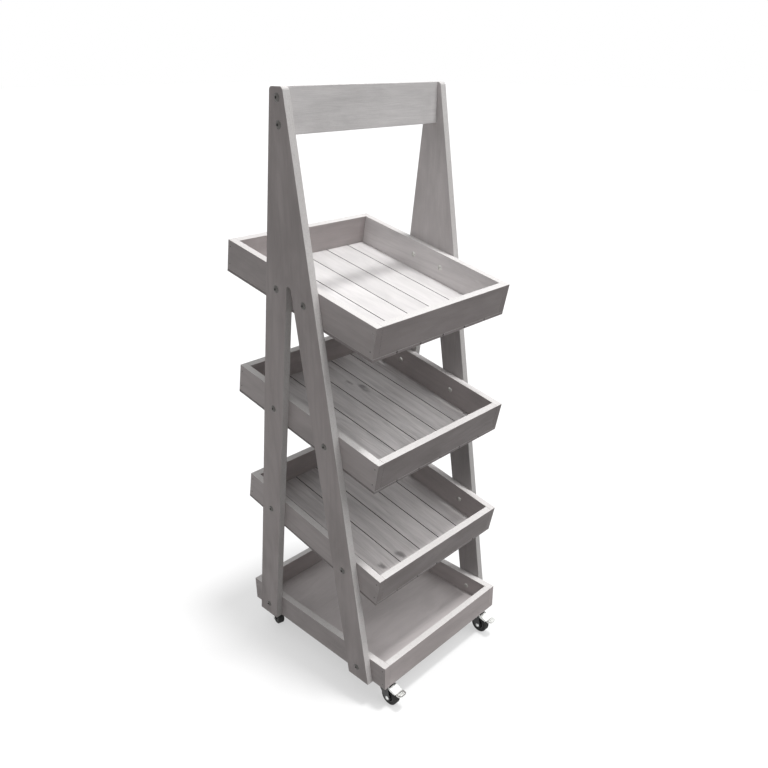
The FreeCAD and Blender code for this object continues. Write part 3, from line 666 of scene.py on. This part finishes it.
def sheet_part(work, corners, run, segments=6):
    """Flat sheet pulled from an outline of (place, rounding) corners along a vector."""
    points = [Vector(point) for point, _ in corners]
    verts = [work.verts.new(point) for point in points]
    face = work.faces.new(verts)
    pulled = bmesh.ops.extrude_face_region(work, geom=[face], use_keep_orig=True)["geom"]
    far = [item for item in pulled if isinstance(item, bmesh.types.BMVert)]
    bmesh.ops.translate(work, verts=far, vec=run)
    for index, (_, rounding) in enumerate(corners):
        if rounding:
            corner = points[index]
            before = (points[index - 1] - corner).normalized()
            after = (points[(index + 1) % len(points)] - corner).normalized()
            edge = edge_between(work, corner, corner + Vector(run))
            bevel(work, [edge], rounding / math.tan(before.angle(after) / 2), segments)


def edge_between(work, start, end):
    """The edge that joins two places."""
    close = 0.001 * MM
    for edge in work.edges:
        first, second = (vert.co for vert in edge.verts)
        if ((first - start).length < close and (second - end).length < close
                or (first - end).length < close and (second - start).length < close):
            return edge
    raise RuntimeError("no edge joins those places")


def turned(work, profile, steps, axis):
    """Revolve a closed profile of (radius, place along the axis) points round X or Z."""
    points = [(x, 0, radius) if axis == "X" else (radius, 0, x) for radius, x in profile]
    verts = [work.verts.new(point) for point in points]
    edges = [work.edges.new((verts[i - 1], verts[i])) for i in range(len(verts))]
    bmesh.ops.spin(work, geom=verts + edges, cent=(0, 0, 0),
                   axis=(1, 0, 0) if axis == "X" else (0, 0, 1),
                   angle=math.radians(360), steps=steps, use_merge=True)


def both_sides(side):
    """Closed profile from its half on the positive side, listed from the bore outwards."""
    return side + [(radius, -x) for radius, x in reversed(side)]


def ring_at(work, radius, x):
    """Edges of the ring at a radius round X and a place along it, on both sides."""
    close = 0.02 * MM
    return edges_at(work, lambda co: abs(abs(co.x) - x) < close
                    and abs(math.hypot(co.y, co.z) - radius) < close)


# ---- Castors ----

def joint(name):
    """The frame's joint of that name."""
    return next(item for item in frame["joints"] if item["name"] == name)


def castor_place(castor, at_axle=False):
    """Sets what is built on the swivel axis, its wheel trailing to -Y, into its castor, or what
    is built round X at the origin on to the castor's axle."""
    axis = joint(castor + "_wheel_spin")["axis"]
    spot = Vector(joint(castor + "_swivel_turn")["pos_m"])
    spot.z = 0
    turn = Matrix.Rotation(math.atan2(axis[1], axis[0]), 4, "Z")
    if at_axle:
        spot = Vector(joint(castor + "_wheel_spin")["pos_m"])
    return Matrix.Translation(spot) @ turn


def axle_place():
    """Distance of the axle from the swivel axis, and its height."""
    swivel = Vector(joint("front_left_swivel_turn")["pos_m"])
    wheel = Vector(joint("front_left_wheel_spin")["pos_m"])
    return (swivel - wheel).to_2d().length, wheel.z


def tyre_mesh(work):
    """Tyre with round shoulders, a raised ring on each flank and two tread grooves."""
    sizes = bpy.context.scene.cart_castor
    half, _, radius = half_size("front_left_tyre")
    seat = half_size("front_left_wheel_hub")[2]
    ring = radius - sizes.shoulder - 1.2 * MM
    bead_low, bead_top, slope = seat + 0.8 * MM, seat + 2.2 * MM, 0.6 * MM
    hollow = half - sizes.flank
    outer = sizes.groove_place + sizes.groove_width / 2
    inner = sizes.groove_place - sizes.groove_width / 2
    floor = radius - sizes.groove_depth
    side = [(seat, half - 1.0 * MM), (bead_low, half), (bead_top, half),
            (bead_top + slope, hollow), (ring - slope, hollow), (ring, half), (radius, half),
            (radius, outer), (floor, outer), (floor, inner), (radius, inner)]
    turned(work, both_sides(side), sizes.wheel_steps, "X")
    bevel(work, ring_at(work, radius, half), sizes.shoulder, 6)


def hub_mesh(work):
    """Hub with a thin web, a stepped boss and ribs out to its rim."""
    sizes = bpy.context.scene.cart_castor
    half, _, rim = half_size("front_left_wheel_hub")
    inside = rim - sizes.rim_wall
    boss, web, lip = sizes.boss / 2, sizes.web / 2, sizes.rim_width / 2
    neck, step = boss - 1.6 * MM, half - 3.2 * MM
    side = [(sizes.bore / 2, half), (neck, half), (neck, step), (boss, step), (boss, web),
            (inside, web), (inside, lip), (rim, lip)]
    turned(work, both_sides(side), sizes.wheel_steps, "X")
    fillet = 0.9 * MM
    bevel(work, ring_at(work, boss, web) + ring_at(work, inside, web), fillet, 3)
    # The ribs are sunk into the boss, the rim and the web, and stop short of the rim's edge.
    sunk, into_web, short = 0.4 * MM, 0.5 * MM, 1.6 * MM
    for number in range(sizes.rib_count):
        turn = Matrix.Rotation(2 * math.pi * number / sizes.rib_count, 3, "X")
        for side_x in (-1, 1):
            near, far = side_x * (web - into_web), side_x * (lip - short)
            rib = block(work, (min(near, far), -sizes.rib / 2, boss - sunk),
                        (max(near, far), sizes.rib / 2, inside + sunk))
            bmesh.ops.rotate(work, verts=rib, cent=(0, 0, 0), matrix=turn)


def touching_point(point, centre, radius, side):
    """Where a line from a point touches a circle; side is 1 for its rear and -1 for its front."""
    run = point - centre
    angle = math.atan2(run.z, run.y) - side * math.acos(radius / run.length)
    return centre + Vector((0, radius * math.cos(angle), radius * math.sin(angle)))


def fork_cheek(work, side):
    """One side of the fork, from the crown down round the axle, with a pressed panel."""
    sizes = bpy.context.scene.cart_castor
    trail, axle_z = axle_place()
    x = side * sizes.cheek_gap / 2
    run = Vector((side * sizes.sheet, 0, 0))
    centre = Vector((x, -trail, axle_z))
    top = sizes.crown_low + 0.3 * MM
    low = sizes.crown_low - sizes.skirt
    rear, front = Vector((x, sizes.crown_rear, low)), Vector((x, -sizes.crown_front, low))
    rear_touch = touching_point(rear, centre, sizes.eye, 1)
    front_touch = touching_point(front, centre, sizes.eye, -1)
    under = axle_z - sizes.eye
    feet = [touch + (touch - corner) * (touch.z - under) / (corner.z - touch.z)
            for corner, touch in ((rear, rear_touch), (front, front_touch))]
    # A little under the eye's radius, so that the two roundings stay apart.
    round_eye = sizes.eye * 0.98
    round_crown, round_panel = 3 * MM, 2.5 * MM
    sheet_part(work, [(front, round_crown), (Vector((x, -sizes.crown_front, top)), 0),
                      (Vector((x, sizes.crown_rear, top)), 0), (rear, round_crown),
                      (feet[0], round_eye), (feet[1], round_eye)], run, 8)
    # The panel starts just inside the cheek's outer face and stands proud of it.
    panel_size, panel_start, panel_depth = 0.6, 0.97, 0.5 * MM
    middle = (rear + front + centre) / 3
    start = middle + Vector((run.x * panel_start, 0, 0))
    panel = [(start + (corner - middle) * panel_size, round_panel)
             for corner in (front, rear, centre)]
    sheet_part(work, panel, (side * panel_depth, 0, 0), 4)


def fork_mesh(work):
    """Stamped fork: two cheeks, crown with rounded bends, and dust cup with a rolled lip."""
    sizes = bpy.context.scene.cart_castor
    for side in (-1, 1):
        part = bmesh.new()
        fork_cheek(part, side)
        join_work(work, part)
    outer = sizes.cheek_gap / 2 + sizes.sheet
    crown_top = sizes.crown_low + sizes.crown
    part = bmesh.new()
    block(part, (-outer, -sizes.crown_front, sizes.crown_low),
          (outer, sizes.crown_rear, crown_top))
    close, bend_share = 0.1 * MM, 0.85
    bends = [edge for edge in edges_at(part, lambda co: co.z > crown_top - close)
             if abs(edge.verts[0].co.x - edge.verts[1].co.x) < close]
    bevel(part, bends, sizes.crown * bend_share, 5)
    join_work(work, part)
    cup, lip = half_size("front_left_fork")[0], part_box("front_left_fork")[1].z
    inside = cup - sizes.cup_wall
    hole, turn, in_turn, roll = 4.1 * MM, 2.4 * MM, 0.7 * MM, 0.3 * MM
    under_lip, near_lip = lip - 0.9 * MM, lip - 0.25 * MM
    profile = [(hole, sizes.crown_low), (cup - turn, sizes.crown_low),
               (cup - in_turn, sizes.crown_low + in_turn), (cup, sizes.crown_low + turn),
               (cup, under_lip), (cup - roll, near_lip), (cup - sizes.cup_wall / 2, lip),
               (inside + roll, near_lip), (inside, under_lip), (inside, crown_top),
               (hole, crown_top)]
    turned(work, profile, 64, "Z")


def join_work(work, part):
    """Add one bmesh to another, and free it."""
    mesh = mesh_of("part", part)
    work.from_mesh(mesh)
    bpy.data.meshes.remove(mesh)


def pedal_top(forward):
    """Height of the pedal's upper face at a distance from the swivel axis."""
    sizes = bpy.context.scene.cart_pedal
    down = (sizes.bend_top - sizes.back_top) / (sizes.bend - sizes.back)
    up = (sizes.tip_top - sizes.bend_top) / (sizes.reach - sizes.bend)
    bend_half = 3.0 * MM
    past = forward - sizes.bend
    if past < -bend_half:
        return sizes.bend_top + past * down
    if past > bend_half:
        return sizes.bend_top + past * up
    return sizes.bend_top + past * down + (up - down) * (past + bend_half) ** 2 / (4 * bend_half)


def pedal_mesh(work):
    """Pressed pedal: bent plate with a flared toe tab, ribs, turned-down sides and a tongue."""
    sizes = bpy.context.scene.cart_pedal
    half, tab = sizes.width / 2, sizes.tab_width / 2
    flare = sizes.bend + 4 * MM
    right = [(half, sizes.back, 0), (half, sizes.bend, 1 * MM), (tab, flare, 1 * MM),
             (tab, sizes.reach, sizes.tip_round)]
    plan = right + [(-x, forward, rounding) for x, forward, rounding in reversed(right)]
    part = bmesh.new()
    sheet_part(part, [((x, -forward, 0), rounding) for x, forward, rounding in plan],
               (0, 0, -sizes.sheet), 8)
    cut_pitch = 0.8 * MM
    for number in range(-4, 5):
        bmesh.ops.bisect_plane(part, geom=part.verts[:] + part.edges[:] + part.faces[:],
                               plane_co=(0, -sizes.bend - number * cut_pitch, 0),
                               plane_no=(0, 1, 0))
    first_rib, rib_pitch, rib_half = sizes.bend + 5.5 * MM, 3.6 * MM, 0.9 * MM
    sunk, crest_round, close = 0.4 * MM, 0.6 * MM, 0.01 * MM
    # Each rib's length as a share of the toe tab's width, the last one shorter at the tip.
    for number, rib_share in enumerate((0.62, 0.62, 0.5)):
        forward = first_rib + rib_pitch * number
        rib = block(part, (-tab * rib_share, -forward - rib_half, -sunk),
                    (tab * rib_share, -forward + rib_half, sizes.pressing))
        crest = edges_at(part, lambda co: co.z > sizes.pressing - close)
        bevel(part, [edge for edge in crest if edge.verts[0] in rib and edge.verts[1] in rib],
              crest_round, 3)
    for vert in part.verts:
        vert.co.z += pedal_top(-vert.co.y)
    join_work(work, part)
    for side in (-1, 1):
        pedal_side(work, side)
    trail, axle_z = axle_place()
    ahead = sizes.tongue - trail
    tread = axle_z + math.sqrt(half_size("front_left_tyre")[2] ** 2 - ahead ** 2)
    # The tongue ends just above the tread, and its top is inside the pedal's plate.
    thick, gap, below_top = 2 * MM, 0.5 * MM, 0.8 * MM
    block(work, (-sizes.tongue_width / 2, -sizes.tongue - thick, tread + gap),
          (sizes.tongue_width / 2, -sizes.tongue, pedal_top(sizes.tongue + thick) - below_top))


def pedal_side(work, side):
    """Side of the pedal, turned down from its plate to the pivot pin."""
    sizes = bpy.context.scene.cart_pedal
    x = side * (sizes.width / 2 - sizes.sheet)
    around_pin, rounding, lift, thinner = 4 * MM, 2 * MM, 0.3 * MM, 0.05 * MM
    heel_top, heel_low = sizes.pin_height + around_pin, sizes.pin_height - around_pin
    front = sizes.bend - 4 * MM
    corners = [((x, -sizes.heel, heel_top), rounding), ((x, -sizes.heel, heel_low), rounding),
               ((x, -sizes.pin_forward - around_pin, heel_low), rounding),
               ((x, -front, pedal_top(front) - sizes.side_depth), rounding),
               ((x, -sizes.bend, pedal_top(sizes.bend) - lift), 0),
               ((x, -sizes.back, pedal_top(sizes.back) - lift), 0)]
    sheet_part(work, corners, (side * (sizes.sheet - thinner), 0, 0), 5)


class CART_OT_paint(bpy.types.Operator):
    """Paint every board, each with its own stretch of grain"""
    bl_idname = "cart.paint"
    bl_label = "Paint the boards"

    def execute(self, context):
        painted = self.frame_boards() + self.walls() + self.floors()
        for seed, (node, grain, lit_tone, shown) in enumerate(painted, start=1):
            paint_node(node, painted_wood("paint_" + node, grain, seed, lit_tone, **shown))
        return {"FINISHED"}

    def frame_boards(self):
        """Handle and panels: node, grain, painted light tone and what else the paint shows."""
        handle = {"edges": (0, 1, 0), "figure": BOARD_FIGURE}
        panel = {"edges": (1, 0, 0), "figure": BOARD_FIGURE}
        return [("handle_board", "across", HANDLE_LIT_TONE, handle),
                ("side_panel_left", "upright", LEFT_PANEL_LIT_TONE, panel),
                ("side_panel_right", "upright", RIGHT_PANEL_LIT_TONE, {**panel, "foot_shade": LEG_SHADE_SHARE})]

    def walls(self):
        """The trays' walls, their side walls with the front's tone, its painted light and shade,
        on their ends.
        """
        found = []
        for tray in TRAYS + ("base_tray",):
            lean = "level" if tray == "base_tray" else "tilted"
            wall = {"edges": lean, "figure": BOARD_FIGURE}
            side = {**wall, "ends": (lean, FRONT_LIT_TONES[tray])}
            found += [(tray + "_front_wall", "across", FRONT_LIT_TONES[tray], wall),
                      (tray + "_rear_wall", "across", REAR_LIT_TONE, wall),
                      (tray + "_left_wall", lean, LEFT_LIT_TONE, side),
                      (tray + "_right_wall", lean, RIGHT_LIT_TONES[tray], side)]
        return found

    def floors(self):
        """The slatted floors and the base tray's plain one."""
        found = []
        for tray in TRAYS:
            node = tray + "_floor_boards"
            low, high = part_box(node)
            found.append((node, "tilted", FLOOR_LIT_TONES[tray], {
                "boards": (low.x, (high.x - low.x) / SLATS), "figure": FLOOR_FIGURES[tray],
                "knots": self.knots(KNOTS[tray], (low + high) / 2),
                "ends": ("tilted", FRONT_LIT_TONES[tray])}))
        found.append(("base_tray_floor", "across", FLOOR_LIT_TONES["base_tray"],
                      {"figure": FLOOR_FIGURES["base_tray"]}))
        return found

    def knots(self, places, middle):
        """Knots' places and radii in metres, from a tilted floor's middle."""
        return [(middle.x + x * MM, middle.y + y * MM * math.cos(TRAY_TILT), radius * MM)
                for x, y, radius in places]


class CART_OT_fasteners(bpy.types.Operator):
    """Finish bolts, nuts, nails and screws"""
    bl_idname = "cart.fasteners"
    bl_label = "Finish the fasteners"

    def execute(self, context):
        metal = context.scene.cart_metal
        nickel = plated_metal("dark_nickel", metal.bolt, 0.24)
        pale_nickel = plated_metal("pale_nickel", metal.nut, 0.28)
        zinc = plated_metal("bright_zinc", metal.zinc, 0.26)
        plated_metal("pedal_zinc", metal.pedal, 0.34, 0.12)
        nail = plated_metal("dull_nail", metal.nail, 0.5)
        for node in ("tray_bolts", "handle_bolts"):
            paint_node(node, nickel)
        paint_node("tray_cap_nuts", pale_nickel)
        for node in ("handle_insert_nuts", "castor_screws", "swivel_kingpins", "swivel_balls"):
            paint_node(node, zinc)
        for node in ("tilted_tray_nails", "base_tray_nails", "floor_board_nails"):
            paint_node(node, nail)
        return {"FINISHED"}


class CART_OT_castor_plates(bpy.types.Operator):
    """Finish the castors' mounting plates, axles and pivot pins"""
    bl_idname = "cart.castor_plates"
    bl_label = "Finish the castors' plates and pins"

    def execute(self, context):
        metal = context.scene.cart_metal
        black = coated_steel("black_coat", metal.black)
        zinc = bpy.data.materials["bright_zinc"]
        for castor in CASTORS:
            paint_node(castor + "_mounting_plate", black)
            paint_node(castor + "_axle", zinc)
            if castor.startswith("front"):
                paint_node(castor + "_pedal_pivot", zinc)
        return {"FINISHED"}


class CART_OT_castor_forks(bpy.types.Operator):
    """Make the stamped forks"""
    bl_idname = "cart.castor_forks"
    bl_label = "Make the forks"

    def execute(self, context):
        for castor in CASTORS:
            finished_piece("stamped_fork_" + castor, fork_mesh, castor_place(castor),
                           castor + "_swivel", bpy.data.materials["black_coat"],
                           castor + "_fork")
        return {"FINISHED"}


class CART_OT_castor_wheels(bpy.types.Operator):
    """Make the wheels' hubs and tyres"""
    bl_idname = "cart.castor_wheels"
    bl_label = "Make the wheels"

    def execute(self, context):
        metal = context.scene.cart_metal
        plastic = moulded_plastic("hub_plastic", metal.plastic)
        tread = rubber("tyre_rubber", metal.rubber, metal.dust)
        for castor in CASTORS:
            place = castor_place(castor, at_axle=True)
            finished_piece("ribbed_hub_" + castor, hub_mesh, place, castor + "_wheel",
                           plastic, castor + "_wheel_hub")
            finished_piece("grooved_tyre_" + castor, tyre_mesh, place, castor + "_wheel",
                           tread, castor + "_tyre")
        return {"FINISHED"}


class CART_OT_castor_pedals(bpy.types.Operator):
    """Make the front castors' brake pedals"""
    bl_idname = "cart.castor_pedals"
    bl_label = "Make the brake pedals"

    def execute(self, context):
        for castor in ("front_left", "front_right"):
            finished_piece("pressed_pedal_" + castor, pedal_mesh, castor_place(castor),
                           castor + "_brake", bpy.data.materials["pedal_zinc"],
                           castor + "_brake_pedal")
        return {"FINISHED"}


class CART_OT_studio(bpy.types.Operator):
    """Set the floor, the lights and the camera"""
    bl_idname = "cart.studio"
    bl_label = "Set the studio"

    def execute(self, context):
        studio = context.scene.cart_studio
        self.make_floor(studio)
        self.make_sky(context.scene, studio)
        self.make_lamp("overhead_key", studio.key_strength, studio.key_height, studio.key_side,
                       studio.key_softness)
        self.make_lamp("front_fill", studio.fill_strength, studio.fill_height, studio.fill_side,
                       studio.fill_softness)
        self.make_camera(context.scene, studio)
        return {"FINISHED"}

    def make_floor(self, studio):
        """Wide pale floor that keeps the cart's shadow."""
        work = bmesh.new()
        bmesh.ops.create_grid(work, x_segments=8, y_segments=8, size=40)
        floor = new_object("studio_floor", mesh_of("studio_floor", work))
        shader = Shader("studio_floor")
        seen = shader.seen()
        shaded = scaled(studio.floor_colour, 1 - studio.floor_glow)
        shader.set(Base_Color=shader.mix(seen, studio.floor_bounce, shaded))
        shader.set(Emission_Color=as_colour(studio.floor_colour))
        shader.set(Emission_Strength=shader.math("MULTIPLY", seen, studio.floor_glow))
        shader.set(Roughness=1.0, Specular_IOR_Level=0.0)
        floor.data.materials.append(shader.material)

    def make_sky(self, scene, studio):
        """Soft light, stronger from overhead; camera and mirror rays see plain white."""
        world = bpy.data.worlds.new("studio_sky")
        world.use_nodes = True
        world.node_tree.nodes.clear()
        sky = Nodes(world.node_tree)
        direction = sky.add("ShaderNodeTexCoord").outputs["Generated"]
        height = sky.add("ShaderNodeSeparateXYZ", {0: direction}).outputs["Z"]
        strength = sky.add("ShaderNodeMapRange", {
            "Value": height, "To Min": studio.sky_low, "To Max": studio.sky_high}).outputs[0]
        white = (1, 1, 1, 1)
        light = sky.add("ShaderNodeBackground", {"Color": white, "Strength": strength})
        backdrop = sky.add("ShaderNodeBackground", {"Color": white, "Strength": 1.0})
        mix = sky.add("ShaderNodeMixShader", {0: sky.seen(), 1: light.outputs[0],
                                              2: backdrop.outputs[0]})
        sky.add("ShaderNodeOutputWorld", {0: mix.outputs[0]})
        scene.world = world

    def make_lamp(self, name, strength, height, side, softness):
        """Soft lamp from above the front, as far away as the sky."""
        lamp = bpy.data.lights.new(name, "SUN")
        lamp.energy = strength
        lamp.angle = softness
        flat = math.cos(height)
        towards = Vector((math.sin(side) * flat, -math.cos(side) * flat, math.sin(height)))
        new_object(name, lamp).rotation_euler = towards.to_track_quat("Z", "Y").to_euler()

    def make_camera(self, scene, studio):
        """Camera where the photograph was taken from."""
        lens = bpy.data.cameras.new("photo_camera")
        lens.sensor_width = 36
        lens.lens = studio.camera_lens
        lens.shift_x, lens.shift_y = studio.camera_shift
        camera = new_object("photo_camera", lens)
        camera.location = studio.camera_place
        turn = Euler((math.radians(90) - studio.camera_dip, 0, -studio.camera_turn), "XYZ")
        roll = Matrix.Rotation(studio.camera_roll, 3, "Z")
        camera.rotation_euler = (turn.to_matrix() @ roll).to_euler()
        scene.camera = camera
        scene.view_settings.view_transform = "Standard"


class CART_PT_panel(bpy.types.Panel):
    """Buttons that dress the cart"""
    bl_idname = "CART_PT_panel"
    bl_label = "Plant display cart"
    bl_space_type = "VIEW_3D"
    bl_region_type = "UI"
    bl_category = "Cart"

    def draw(self, context):
        for step in STEPS:
            self.layout.operator(step.bl_idname)
        for group in SETTINGS:
            settings = getattr(context.scene, group)
            box = self.layout.box()
            for name in settings.__annotations__:
                box.prop(settings, name)


STEPS = (CART_OT_paint, CART_OT_fasteners, CART_OT_castor_plates, CART_OT_castor_forks,
         CART_OT_castor_wheels, CART_OT_castor_pedals, CART_OT_studio)
SETTINGS = {"cart_paint": CartPaint, "cart_metal": CartMetal, "cart_castor": CartCastor,
            "cart_pedal": CartPedal, "cart_studio": CartStudio}


def register():
    for group in SETTINGS.values():
        bpy.utils.register_class(group)
    for step in STEPS + (CART_PT_panel,):
        bpy.utils.register_class(step)
    for name, group in SETTINGS.items():
        setattr(bpy.types.Scene, name, PointerProperty(type=group))


def unregister():
    for name in SETTINGS:
        delattr(bpy.types.Scene, name)
    for item in (CART_PT_panel,) + STEPS + tuple(SETTINGS.values()):
        bpy.utils.unregister_class(item)


def main():
    register()
    bpy.ops.cart.paint()
    bpy.ops.cart.fasteners()
    bpy.ops.cart.castor_plates()
    bpy.ops.cart.castor_forks()
    bpy.ops.cart.castor_wheels()
    bpy.ops.cart.castor_pedals()
    bpy.ops.cart.studio()


if __name__ == "__main__":
    main()
